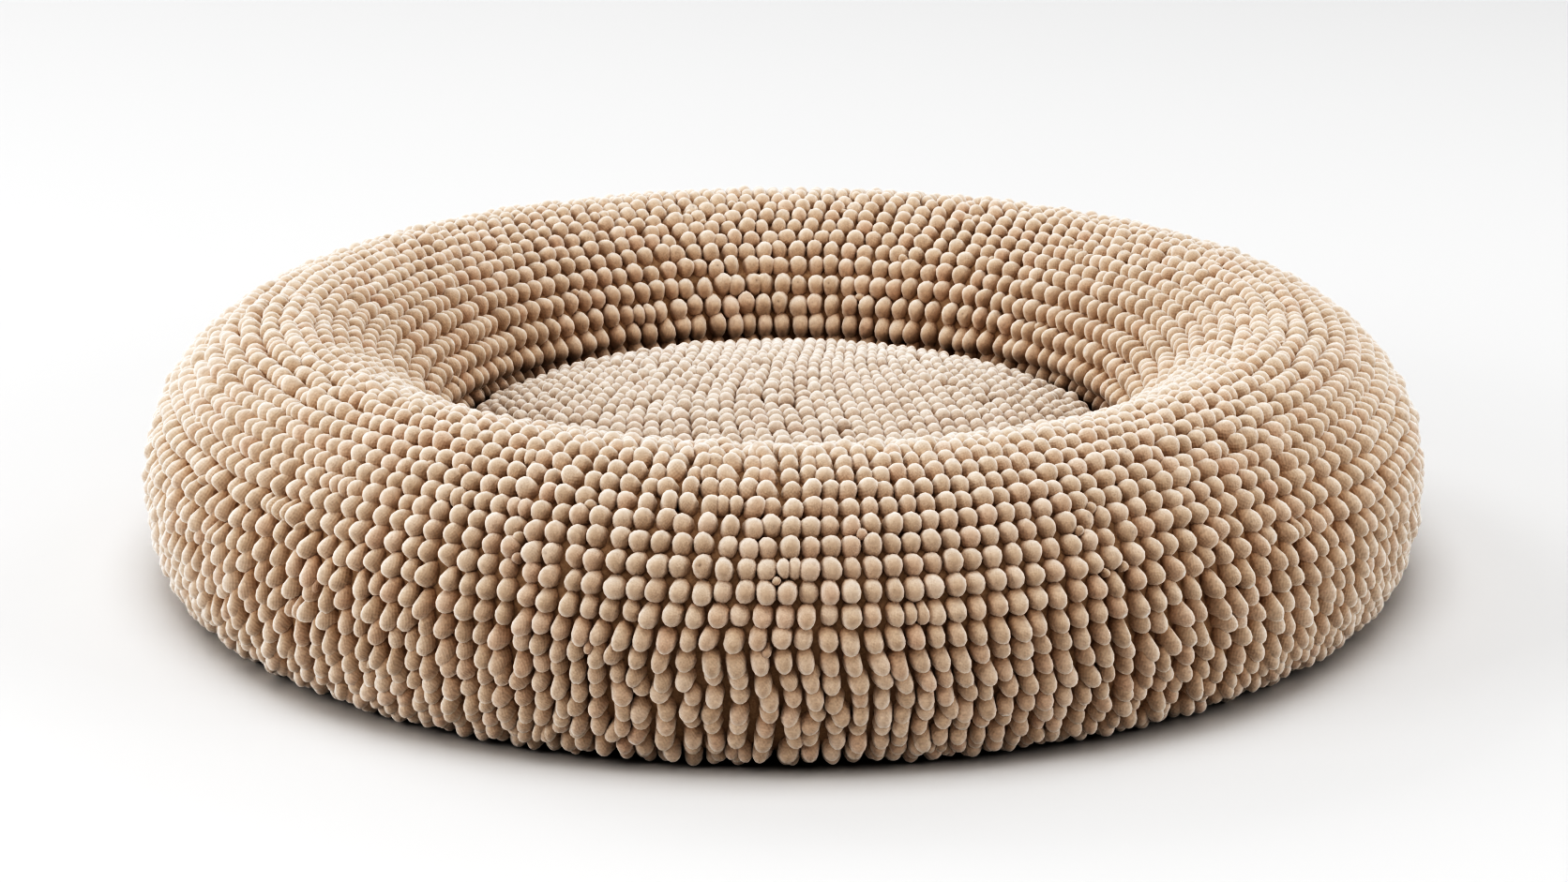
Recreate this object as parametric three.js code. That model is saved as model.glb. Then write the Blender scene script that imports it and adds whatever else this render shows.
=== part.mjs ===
// Donut pet bed: a round filled bolster around a crowned cushion, both sewn to a flat base cloth.
// The covers are bobble cloth, and each row of bobbles shows here as a raised rib.
// Millimetres, +Z up. The origin is on the floor, under the middle of the bed.
import * as THREE from 'three';

// Driving dimensions. Those of the bolster and the cushion are taken over the tips of the bobbles.
const OUTER_RADIUS = 400;
const BED_HEIGHT = 163;
const PIECE_GAP = 0.3;

const BASE_RADIUS = 360;
const BASE_THICKNESS = 2;
const BASE_SEGMENTS = 64;

// Section of the bolster, as radii from the middle of the bed and heights above the floor.
const WIDEST_HEIGHT = 70;
const CREST_RADIUS = 305;
const NEST_RADIUS = 213;
const NEST_WAIST_HEIGHT = 84;
const FOOT_OUTER_RADIUS = 372;
const FOOT_INNER_RADIUS = 240;
const FOOT_HEIGHT = BASE_THICKNESS + PIECE_GAP;

// How square each quarter of the section is: 2 is an ellipse, less is leaner, more is fuller.
const LOWER_OUTER_FULLNESS = 2.28;
const UPPER_OUTER_FULLNESS = 1.93;
const UPPER_INNER_FULLNESS = 1.6;
const LOWER_INNER_FULLNESS = 2;

const BOLSTER_ROWS = 37;
const BOLSTER_RIB_DEPTH = 4;
const BOLSTER_SEGMENTS = 60;

// The filling is a little uneven: the bolster swells and thins by this much on its way round.
const SWELLING = 2;
const SWELLING_WAVES = [
  { lobes: 2, share: 0.45, phase: 0.6 },
  { lobes: 3, share: 0.35, phase: 2.1 },
  { lobes: 7, share: 0.2, phase: 4.0 },
];

const CUSHION_CROWN_HEIGHT = 101;
const CUSHION_RIM_HEIGHT = 61;
const CUSHION_FOOT_RADIUS = 180;
const CUSHION_CLEARANCE = 0.3;
const CROWN_FLATNESS = 2.45;
const CROWN_SHOULDER = 2.7;
const CUSHION_ROWS = 35;
const CUSHION_RIB_DEPTH = 2.4;
const CUSHION_RIB_REACH = 0.85;
const CUSHION_TOP_STEPS = 16;
const CUSHION_UNDERSIDE_STEPS = 8;

const BOLSTER_CLOTH = { color: '#c9aa8b', roughness: 0.95, metalness: 0 };
const CUSHION_CLOTH = { color: '#dfcab3', roughness: 0.95, metalness: 0 };
const BASE_CLOTH = { color: '#a8927b', roughness: 0.9, metalness: 0 };

/** The closed outline's curved part: from the outer foot, over the crest, to the inner foot. */
class BolsterSection extends THREE.Curve {
  constructor() {
    super();
    this.arcLengthDivisions = 1200;
    this.quarters = [
      {
        centre: [FOOT_OUTER_RADIUS, WIDEST_HEIGHT],
        start: [FOOT_OUTER_RADIUS, FOOT_HEIGHT],
        end: [OUTER_RADIUS, WIDEST_HEIGHT],
        fullness: LOWER_OUTER_FULLNESS,
      },
      {
        centre: [CREST_RADIUS, WIDEST_HEIGHT],
        start: [OUTER_RADIUS, WIDEST_HEIGHT],
        end: [CREST_RADIUS, BED_HEIGHT],
        fullness: UPPER_OUTER_FULLNESS,
      },
      {
        centre: [CREST_RADIUS, NEST_WAIST_HEIGHT],
        start: [CREST_RADIUS, BED_HEIGHT],
        end: [NEST_RADIUS, NEST_WAIST_HEIGHT],
        fullness: UPPER_INNER_FULLNESS,
      },
      {
        centre: [FOOT_INNER_RADIUS, NEST_WAIST_HEIGHT],
        start: [NEST_RADIUS, NEST_WAIST_HEIGHT],
        end: [FOOT_INNER_RADIUS, FOOT_HEIGHT],
        fullness: LOWER_INNER_FULLNESS,
      },
    ];
  }

  getPoint(t, target = new THREE.Vector2()) {
    const place = Math.min(t, 1) * this.quarters.length;
    const index = Math.min(Math.floor(place), this.quarters.length - 1);
    const { centre, start, end, fullness } = this.quarters[index];
    const angle = (place - index) * Math.PI / 2;
    const towardsStart = Math.max(Math.cos(angle), 0) ** (2 / fullness);
    const towardsEnd = Math.max(Math.sin(angle), 0) ** (2 / fullness);
    return target.set(
      centre[0] + (start[0] - centre[0]) * towardsStart + (end[0] - centre[0]) * towardsEnd,
      centre[1] + (start[1] - centre[1]) * towardsStart + (end[1] - centre[1]) * towardsEnd,
    );
  }
}

/** The section with a rib for each row of bobbles, closed along its flat foot. */
function ribbedProfile(section) {
  const points = [];
  for (let step = 0; step <= 2 * BOLSTER_ROWS; step += 1) {
    const along = step / (2 * BOLSTER_ROWS);
    const point = section.getPointAt(along);
    const isFootCorner = step === 0 || step === 2 * BOLSTER_ROWS;
    if (step % 2 === 0 && !isFootCorner) {
      const tangent = section.getTangentAt(along);
      point.x -= tangent.y * BOLSTER_RIB_DEPTH;
      point.y += tangent.x * BOLSTER_RIB_DEPTH;
    }
    point.y = Math.max(point.y, FOOT_HEIGHT);
    points.push(point);
  }
  points.push(points[0].clone());
  return points;
}

/** How far the filling pushes the cover out at an angle round the bed, from -1 to 1. */
function fillingAt(angle) {
  return SWELLING_WAVES.reduce(
    (sum, { lobes, share, phase }) => sum + share * Math.sin(lobes * angle + phase),
    0,
  );
}

/** Moves the upper, outer part of the bolster in and out, and leaves its foot and nest in place. */
function swell(geometry) {
  const position = geometry.getAttribute('position');
  const middle = new THREE.Vector2(CREST_RADIUS, WIDEST_HEIGHT);
  for (let index = 0; index < position.count; index += 1) {
    const x = position.getX(index);
    const y = position.getY(index);
    const z = position.getZ(index);
    const radius = Math.hypot(x, y);
    const lift = THREE.MathUtils.smoothstep(z, WIDEST_HEIGHT / 2, BED_HEIGHT);
    const outside = THREE.MathUtils.smoothstep(radius, NEST_RADIUS, CREST_RADIUS);
    const move = SWELLING * (fillingAt(Math.atan2(y, x)) - 1) / 2 * lift * outside;
    const away = new THREE.Vector2(radius, z).sub(middle).normalize();
    const newRadius = radius + away.x * move;
    position.setXYZ(index, x * newRadius / radius, y * newRadius / radius, z + away.y * move);
  }
}

function makeBolster() {
  const geometry = new THREE.LatheGeometry(ribbedProfile(new BolsterSection()), BOLSTER_SEGMENTS);
  geometry.rotateX(Math.PI / 2);
  swell(geometry);
  return geometry;
}

/** The bolster's inner face at a height below its waist, where the cushion presses against it. */
function nestRadiusAt(height) {
  const drop = (NEST_WAIST_HEIGHT - height) / (NEST_WAIST_HEIGHT - FOOT_HEIGHT);
  return FOOT_INNER_RADIUS - (FOOT_INNER_RADIUS - NEST_RADIUS) * Math.sqrt(1 - drop ** 2);
}

const CUSHION_RADIUS = nestRadiusAt(CUSHION_RIM_HEIGHT) - CUSHION_CLEARANCE;

/** Height of the crowned top at a radius. */
function crownHeight(radius) {
  const fall = Math.max(1 - (radius / CUSHION_RADIUS) ** CROWN_FLATNESS, 0);
  return CUSHION_RIM_HEIGHT + (CUSHION_CROWN_HEIGHT - CUSHION_RIM_HEIGHT) * fall ** (1 / CROWN_SHOULDER);
}

/** Height of the underside at a radius: flat, then drawn up to the rim. */
function undersideHeight(radius) {
  const reach = Math.max(radius - CUSHION_FOOT_RADIUS, 0) / (CUSHION_RADIUS - CUSHION_FOOT_RADIUS);
  return CUSHION_RIM_HEIGHT - (CUSHION_RIM_HEIGHT - FOOT_HEIGHT) * Math.sqrt(Math.max(1 - reach ** 2, 0));
}

/** One slice across the cushion, as a closed loop: over the top, then back along the underside. */
function cushionSlice(y, ribDrop) {
  const halfWidth = Math.sqrt(CUSHION_RADIUS ** 2 - y ** 2);
  const loop = [];
  for (let step = 0; step <= CUSHION_TOP_STEPS; step += 1) {
    const x = halfWidth * Math.cos(Math.PI * step / CUSHION_TOP_STEPS);
    const radius = Math.hypot(x, y);
    const inside = 1 - THREE.MathUtils.smoothstep(
      radius,
      CUSHION_RIB_REACH * CUSHION_RADIUS,
      CUSHION_RADIUS,
    );
    loop.push(new THREE.Vector3(x, y, crownHeight(radius) - ribDrop * inside));
  }
  for (let step = 1; step < CUSHION_UNDERSIDE_STEPS; step += 1) {
    const x = -halfWidth * Math.cos(Math.PI * step / CUSHION_UNDERSIDE_STEPS);
    loop.push(new THREE.Vector3(x, y, undersideHeight(Math.hypot(x, y))));
  }
  return loop;
}

/** Joins equal loops into one closed skin, with a single point at each end. */
function skinOverLoops(firstPoint, loops, lastPoint) {
  const size = loops[0].length;
  const points = [firstPoint, ...loops.flat(), lastPoint];
  const faces = [];
  const at = (row, column) => 1 + row * size + (column % size);
  for (let column = 0; column < size; column += 1) {
    faces.push(0, at(0, column), at(0, column + 1));
    faces.push(points.length - 1, at(loops.length - 1, column + 1), at(loops.length - 1, column));
    for (let row = 0; row < loops.length - 1; row += 1) {
      faces.push(at(row, column), at(row + 1, column + 1), at(row, column + 1));
      faces.push(at(row, column), at(row + 1, column), at(row + 1, column + 1));
    }
  }
  const geometry = new THREE.BufferGeometry().setFromPoints(points);
  geometry.setIndex(faces);
  geometry.computeVertexNormals();
  return geometry;
}

function makeCushion() {
  const slices = 2 * CUSHION_ROWS;
  const loops = [];
  for (let step = 1; step < slices; step += 1) {
    const y = CUSHION_RADIUS * (2 * step / slices - 1);
    loops.push(cushionSlice(y, step % 2 === 0 ? CUSHION_RIB_DEPTH : 0));
  }
  const front = new THREE.Vector3(0, -CUSHION_RADIUS, CUSHION_RIM_HEIGHT);
  const back = new THREE.Vector3(0, CUSHION_RADIUS, CUSHION_RIM_HEIGHT);
  return skinOverLoops(front, loops, back);
}

function makeBase() {
  const edge = [[0, 0], [BASE_RADIUS, 0], [BASE_RADIUS, BASE_THICKNESS], [0, BASE_THICKNESS]];
  const profile = edge.map(([radius, height]) => new THREE.Vector2(radius, height));
  const geometry = new THREE.LatheGeometry(profile, BASE_SEGMENTS);
  geometry.rotateX(Math.PI / 2);
  return geometry;
}

function makePiece(name, geometry, cloth) {
  const mesh = new THREE.Mesh(geometry, new THREE.MeshStandardMaterial(cloth));
  mesh.name = name;
  return mesh;
}

const group = new THREE.Group();
group.add(
  makePiece('base_panel', makeBase(), BASE_CLOTH),
  makePiece('bolster', makeBolster(), BOLSTER_CLOTH),
  makePiece('cushion', makeCushion(), CUSHION_CLOTH),
);

export default group;
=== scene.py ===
"""Donut pet bed: the looks of a round bed in bobble cloth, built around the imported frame.

Metres, +Z up, the origin on the floor under the middle of the bed, as in the frame.
"""

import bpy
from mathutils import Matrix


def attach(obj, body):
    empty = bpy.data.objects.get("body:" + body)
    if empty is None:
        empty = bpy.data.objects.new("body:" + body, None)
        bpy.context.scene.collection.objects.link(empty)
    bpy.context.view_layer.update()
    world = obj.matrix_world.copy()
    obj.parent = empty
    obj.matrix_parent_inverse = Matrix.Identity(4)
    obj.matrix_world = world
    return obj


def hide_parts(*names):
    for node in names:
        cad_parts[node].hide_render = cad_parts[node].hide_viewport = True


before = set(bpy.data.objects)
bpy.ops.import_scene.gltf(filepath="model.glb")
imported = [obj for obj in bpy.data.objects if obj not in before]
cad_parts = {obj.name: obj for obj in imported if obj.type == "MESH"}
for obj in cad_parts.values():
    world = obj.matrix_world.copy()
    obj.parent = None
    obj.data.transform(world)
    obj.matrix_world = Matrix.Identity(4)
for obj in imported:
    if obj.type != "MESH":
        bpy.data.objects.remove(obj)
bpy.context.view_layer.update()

import logging
import math
from dataclasses import dataclass, field
from enum import Enum
from typing import Any, Sequence

import bmesh
import bpy
import numpy as np
from mathutils import Vector

logging.basicConfig(level=logging.INFO, format="%(message)s")
LOG = logging.getLogger("bed")

PHOTO_WIDTH = 1672
COMBINED_CURVE = 3
FULL_TURN = 2 * math.pi

Colour = tuple[float, float, float, float]


class Zone(Enum):
    """A band of the bolster's rows of bobbles, each made as one mesh."""

    FOOT = "foot"
    WALL = "wall"
    SHOULDER = "shoulder"
    CREST = "crest"
    NEST = "nest"


def unit(vectors: np.ndarray) -> np.ndarray:
    """Scales each vector of an array to length one."""
    return vectors / np.linalg.norm(vectors, axis=-1, keepdims=True)


def smoothstep(low: float, high: float, value: np.ndarray) -> np.ndarray:
    """Rises smoothly from 0 at low to 1 at high, which may be the smaller of the two."""
    share = np.clip((value - low) / (high - low), 0.0, 1.0)
    return share * share * (3 - 2 * share)


def link(piece: bpy.types.Object) -> bpy.types.Object:
    """Puts an object into the scene and returns it."""
    bpy.context.scene.collection.objects.link(piece)
    return piece


def object_from(name: str, shape: bmesh.types.BMesh) -> bpy.types.Object:
    """Makes a smooth-shaded object from a bmesh, which it frees.

    Args:
        name: the object's name.
        shape: the bmesh.

    Returns:
        The object, put into the scene.
    """
    mesh = bpy.data.meshes.new(name)
    shape.to_mesh(mesh)
    shape.free()
    mesh.shade_smooth()
    return link(bpy.data.objects.new(name, mesh))


def spun(profile: np.ndarray, steps: int, is_closed: bool = False) -> bmesh.types.BMesh:
    """Spins a line once round the upright axis.

    Args:
        profile: the line's points, as (radius, height).
        steps: how many faces the turn has.
        is_closed: whether the last point joins the first.

    Returns:
        The shape, with its doubles merged.
    """
    shape = bmesh.new()
    verts = [shape.verts.new((float(radius), 0.0, float(height))) for radius, height in profile]
    nexts = verts[1:] + verts[:1] if is_closed else verts[1:]
    for first, second in zip(verts, nexts):
        shape.edges.new((first, second))
    bmesh.ops.spin(
        shape, geom=shape.verts[:] + shape.edges[:], axis=(0, 0, 1), cent=(0, 0, 0),
        angle=FULL_TURN, steps=steps, use_merge=True,
    )
    bmesh.ops.remove_doubles(shape, verts=shape.verts[:], dist=1e-6)
    return shape


@dataclass(frozen=True)
class Waviness:
    """A smooth, seeded unevenness over the angle round the bed and the way along a section.

    Args:
        seed: picks the waves.
        lobes: the most waves in one turn.
        across: waves in one metre along the section.
        waves: how many waves are summed.
    """

    seed: int
    lobes: int = 12
    across: float = 10.0
    waves: int = 9

    def at(self, angle: np.ndarray, arc: np.ndarray) -> np.ndarray:
        """Works out the unevenness.

        Args:
            angle: angles round the bed, in radians.
            arc: distances along the section.

        Returns:
            The unevenness at each, mostly from -1 to 1.
        """
        draw = np.random.default_rng(self.seed)
        total = np.zeros(np.broadcast(angle, arc).shape)
        for _ in range(self.waves):
            turns = draw.integers(1, self.lobes + 1)
            slope = draw.uniform(-self.across, self.across) * FULL_TURN
            total = total + np.sin(turns * angle + slope * arc + draw.uniform(0, FULL_TURN))
        return total / math.sqrt(self.waves)


@dataclass(frozen=True)
class Quarter:
    """One quarter of the bolster's section, as (radius, height) corners in metres."""

    centre: tuple[float, float]
    start: tuple[float, float]
    end: tuple[float, float]
    fullness: float

    def points(self, steps: int) -> np.ndarray:
        """Walks the quarter.

        Args:
            steps: how many points it is given.

        Returns:
            The points from its start to its end, as (radius, height).
        """
        angle = np.linspace(0, math.pi / 2, steps)[:, None]
        centre, start, end = (np.array(corner) for corner in (self.centre, self.start, self.end))
        to_start = np.cos(angle).clip(0) ** (2 / self.fullness)
        to_end = np.sin(angle).clip(0) ** (2 / self.fullness)
        return centre + (start - centre) * to_start + (end - centre) * to_end


class Outline:
    """A curve of (radius, height) points that is walked by its arc length."""

    def __init__(self, points: np.ndarray) -> None:
        """Measures the curve through the points.

        Args:
            points: the points in order, of which doubled ones are left out.
        """
        steps = np.linalg.norm(np.diff(points, axis=0), axis=1)
        keep = np.concatenate([[True], steps > 1e-9])
        self.points = points[keep]
        steps = np.linalg.norm(np.diff(self.points, axis=0), axis=1)
        self.arcs = np.concatenate([[0.0], np.cumsum(steps)])
        self.length = float(self.arcs[-1])
        self.tangents = unit(np.gradient(self.points, self.arcs, axis=0))

    def at(self, arc: np.ndarray) -> tuple[np.ndarray, np.ndarray]:
        """Finds places on the curve.

        Args:
            arc: arc lengths from the start of the curve.

        Returns:
            The points there and the unit tangents, which lead on along the curve.
        """
        point = np.stack([np.interp(arc, self.arcs, self.points[:, k]) for k in (0, 1)], -1)
        tangent = np.stack([np.interp(arc, self.arcs, self.tangents[:, k]) for k in (0, 1)], -1)
        return point, unit(tangent)

    def beyond(self, place: np.ndarray) -> np.ndarray:
        """Measures how far places lie outside the curve.

        Args:
            place: the places, as (radius, height).

        Returns:
            Their distances from it, less than 0 inside it.
        """
        gap = place[:, None, :] - self.points[None]
        nearest = np.argmin((gap ** 2).sum(-1), axis=1)
        out = np.stack([self.tangents[nearest, 1], -self.tangents[nearest, 0]], -1)
        return (gap[np.arange(len(place)), nearest] * out).sum(-1)


@dataclass
class Bobbles:
    """Bobbles that stand on a cloth. Entry n of every array belongs to bobble n.

    Attributes:
        root: where each bobble grows from the cloth.
        out: the cloth's outward direction there.
        along: the direction of its row.
        bend: how far its tip is drawn sideways, as a share of its reach.
        reach: how far its tip stands off the cloth.
        width: its thickness along the row.
        depth: its thickness across the row.
        ridge: how much thicker it is across the row at its root, as a share of its depth.
        dimple: how deep its tip is puckered, as a share of its radius.
        tint: its own shade, from -1 to 1.
        warmth: its own hue, from -1 to 1.
    """

    root: np.ndarray
    out: np.ndarray
    along: np.ndarray
    bend: np.ndarray
    reach: np.ndarray
    width: np.ndarray
    depth: np.ndarray
    ridge: np.ndarray
    dimple: np.ndarray
    tint: np.ndarray
    warmth: np.ndarray

    @property
    def count(self) -> int:
        """How many bobbles there are."""
        return len(self.reach)

    def where(self, keep: np.ndarray) -> "Bobbles":
        """Returns only the bobbles that the mask keeps."""
        return Bobbles(**{name: value[keep] for name, value in vars(self).items()})

    @staticmethod
    def joined(sets: Sequence["Bobbles"]) -> "Bobbles":
        """Returns all the bobbles of several sets as one set."""
        names = vars(sets[0])
        return Bobbles(**{name: np.concatenate([vars(one)[name] for one in sets]) for name in names})


@dataclass(frozen=True)
class BobbleShape:
    """The form that every bobble shares: a soft thumb with a closed root and a round tip.

    Attributes:
        shaft: how far along the shaft each latitude of the ball lies.
        turn: how far round the tip each lies, in degrees.
        flare: how much wider than the tip the bobble is there.
        ridge: how much of a bobble's own ridge it has there.
    """

    sides: int = 12
    bands: int = 6
    lumpiness: float = 0.035
    lump_seed: int = 5
    stretch: float = 0.55
    latitudes: tuple[float, ...] = (-90, -60, -30, 0, 30, 60, 90)
    shaft: tuple[float, ...] = (0.0, 0.0, 0.55, 1.0, 1.0, 1.0, 1.0)
    turn: tuple[float, ...] = (-90, 0, 0, 10, 40, 66, 90)
    flare: tuple[float, ...] = (1.0, 1.25, 1.18, 1.04, 1.0, 1.0, 1.0)
    ridge: tuple[float, ...] = (1.0, 1.0, 0.85, 0.25, 0.0, 0.0, 0.0)

    def ball(self) -> tuple[np.ndarray, list[list[int]]]:
        """Makes the ball that the bobbles are drawn from.

        Returns:
            Its points, and the corners of each of its faces.
        """
        shape = bmesh.new()
        bmesh.ops.create_uvsphere(shape, u_segments=self.sides, v_segments=self.bands, radius=1.0)
        bmesh.ops.recalc_face_normals(shape, faces=shape.faces[:])
        shape.verts.index_update()
        points = np.array([vert.co[:] for vert in shape.verts])
        faces = [[vert.index for vert in face.verts] for face in shape.faces]
        shape.free()
        return points, faces

    def drawn(self, bobbles: Bobbles, floor: float) -> tuple[np.ndarray, np.ndarray, np.ndarray]:
        """Draws the ball out into every bobble.

        Args:
            bobbles: the bobbles to draw.
            floor: the height that no point goes below.

        Returns:
            The points of each bobble, how far each lies from root to tip as a share, and how far
            it lies from the root over the cloth of the bobble.
        """
        ball, _ = self.ball()
        latitude = np.degrees(np.arcsin(ball[:, 2].clip(-1, 1)))
        ring = np.hypot(ball[:, 0], ball[:, 1])
        side = ball[:, :2] / np.maximum(ring, 1e-6)[:, None]
        shaft, turn, flare = (
            np.interp(latitude, self.latitudes, row) for row in (self.shaft, self.turn, self.flare)
        )
        turn = np.radians(turn)
        cap, girth = np.sin(turn).clip(0), np.cos(turn) * flare
        deepening = 1 + bobbles.ridge[:, None] * np.interp(latitude, self.latitudes, self.ridge)
        sag = np.linalg.norm(bobbles.bend, axis=1)
        length = bobbles.reach * (1 + self.stretch * sag ** 1.5)
        tip_share = (0.25 * (bobbles.width + bobbles.depth) / length).clip(0.2, 0.6)[:, None]
        draw = np.random.default_rng(self.lump_seed)
        around = np.arctan2(ball[:, 1], ball[:, 0])
        lumps = np.ones((bobbles.count, len(ball)))
        for lobes in (1, 2, 3):
            phase = draw.uniform(0, FULL_TURN, (bobbles.count, 1))
            phase = phase + draw.normal(0, 1, (bobbles.count, 1)) * ball[:, 2]
            lumps = lumps + self.lumpiness * np.cos(lobes * around + phase)
        way = shaft * (1 - tip_share) + cap * tip_share
        way = way - (cap > 0.99) * bobbles.dimple[:, None] * tip_share
        step = way[..., None]
        reach = bobbles.reach[:, None, None]
        out, bend, along = (part[:, None, :] for part in (bobbles.out, bobbles.bend, bobbles.along))
        droop = step * (0.45 + 0.55 * step)
        middle = bobbles.root[:, None, :] + reach * (step * out + droop * bend)
        axis = unit(out + (0.45 + 1.1 * step) * bend)
        across = unit(along - (along * axis).sum(-1, keepdims=True) * axis)
        over = np.cross(axis, across)
        half_width = (0.5 * bobbles.width[:, None] * girth * lumps * side[:, 0])[..., None]
        half_depth = (0.5 * bobbles.depth[:, None] * deepening * girth * lumps * side[:, 1])[..., None]
        points = middle + across * half_width + over * half_depth
        points[..., 2] = np.maximum(points[..., 2], floor)
        travel = shaft * (1 - tip_share) + turn.clip(0) * tip_share
        return points, way, travel * length[:, None]

    def around(self) -> np.ndarray:
        """Works out how far round the ball its faces' corners lie.

        Returns:
            The turn of each corner of each face.
        """
        ball, faces = self.ball()
        turns = []
        for face in faces:
            points = ball[face]
            is_pole = np.hypot(points[:, 0], points[:, 1]) < 1e-4
            angle = np.arctan2(points[:, 1], points[:, 0])
            first = angle[~is_pole][0]
            angle = first + (angle - first + math.pi) % FULL_TURN - math.pi
            angle[is_pole] = angle[~is_pole].mean()
            turns.append(angle / FULL_TURN)
        return np.concatenate(turns)

    def joined_mesh(self, name: str, bobbles: Bobbles, floor: float) -> bpy.types.Object:
        """Makes one object of all the bobbles.

        Args:
            name: the object's name.
            bobbles: the bobbles to join.
            floor: the height that no point goes below.

        Returns:
            The object. Its attribute "bobble" holds each point's shade, way to the tip, hue and
            pucker, which marks the painted shade in a dimpled tip. Its UV map "knit" runs round each
            bobble once and up it by its length in centimetres.
        """
        points, way, travel = self.drawn(bobbles, floor)
        _, faces = self.ball()
        each = points.shape[1]
        corners = np.array([corner for face in faces for corner in face])
        sizes = np.array([len(face) for face in faces])
        starts = np.concatenate([[0], np.cumsum(sizes)[:-1]])
        shift = np.arange(bobbles.count)[:, None]
        mesh = bpy.data.meshes.new(name)
        mesh.vertices.add(bobbles.count * each)
        mesh.vertices.foreach_set("co", points.astype(np.float32).ravel())
        mesh.loops.add(bobbles.count * len(corners))
        mesh.loops.foreach_set("vertex_index", (corners + shift * each).astype(np.int32).ravel())
        mesh.polygons.add(bobbles.count * len(faces))
        mesh.polygons.foreach_set(
            "loop_start", (starts + shift * len(corners)).astype(np.int32).ravel()
        )
        mesh.update(calc_edges=True)
        mesh.shade_smooth()
        colours = np.ones((bobbles.count, each, 4), np.float32)
        colours[..., 0] = 0.5 + 0.5 * bobbles.tint[:, None]
        colours[..., 1] = way.clip(0, 1)
        colours[..., 2] = 0.5 + 0.5 * bobbles.warmth[:, None]
        # The alpha marks the pole of a dimpled tip, which the cloth gives a painted shade.
        colours[..., 3] = 2 * bobbles.dimple[:, None] * (self.ball()[0][:, 2] > 0.99)
        layer = mesh.attributes.new("bobble", "FLOAT_COLOR", "POINT")
        layer.data.foreach_set("color", colours.ravel())
        knit = np.empty((bobbles.count, len(corners), 2), np.float32)
        knit[..., 0] = self.around()
        knit[..., 1] = travel[:, corners] * 100
        mesh.uv_layers.new(name="knit").data.foreach_set("uv", knit.ravel())
        return link(bpy.data.objects.new(name, mesh))


class Signal:
    """A number on a shader socket. Python's operators on it add Math nodes."""

    def __init__(self, sheet: "NodeSheet", socket: bpy.types.NodeSocket) -> None:
        """Wraps the socket of a node on the sheet."""
        self.sheet = sheet
        self.socket = socket

    def _math(self, operation: str, *values: Any) -> "Signal":
        """Adds a Math node with the operation and returns its result."""
        return self.sheet.add("ShaderNodeMath", {"operation": operation}, *values)

    def __add__(self, other: Any) -> "Signal":
        """Adds a number or a signal."""
        return self._math("ADD", self, other)

    def __radd__(self, other: Any) -> "Signal":
        """Adds this signal to a number."""
        return self._math("ADD", other, self)

    def __sub__(self, other: Any) -> "Signal":
        """Takes a number or a signal away."""
        return self._math("SUBTRACT", self, other)

    def __rsub__(self, other: Any) -> "Signal":
        """Takes this signal away from a number."""
        return self._math("SUBTRACT", other, self)

    def __mul__(self, other: Any) -> "Signal":
        """Multiplies by a number or a signal."""
        return self._math("MULTIPLY", self, other)

    def __rmul__(self, other: Any) -> "Signal":
        """Multiplies a number by this signal."""
        return self._math("MULTIPLY", other, self)

    def __pow__(self, other: Any) -> "Signal":
        """Raises to a power."""
        return self._math("POWER", self, other)

    def sine(self) -> "Signal":
        """Returns the sine of this signal, in radians."""
        return self._math("SINE", self)

    def cosine(self) -> "Signal":
        """Returns the cosine of this signal, in radians."""
        return self._math("COSINE", self)

    def between(self, low: float, high: float) -> "Signal":
        """Rises smoothly from 0, where this signal is low, to 1, where it is high."""
        settings = {"interpolation_type": "SMOOTHSTEP", "clamp": True}
        return self.sheet.add("ShaderNodeMapRange", settings, self, low, high, 0.0, 1.0)


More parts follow.
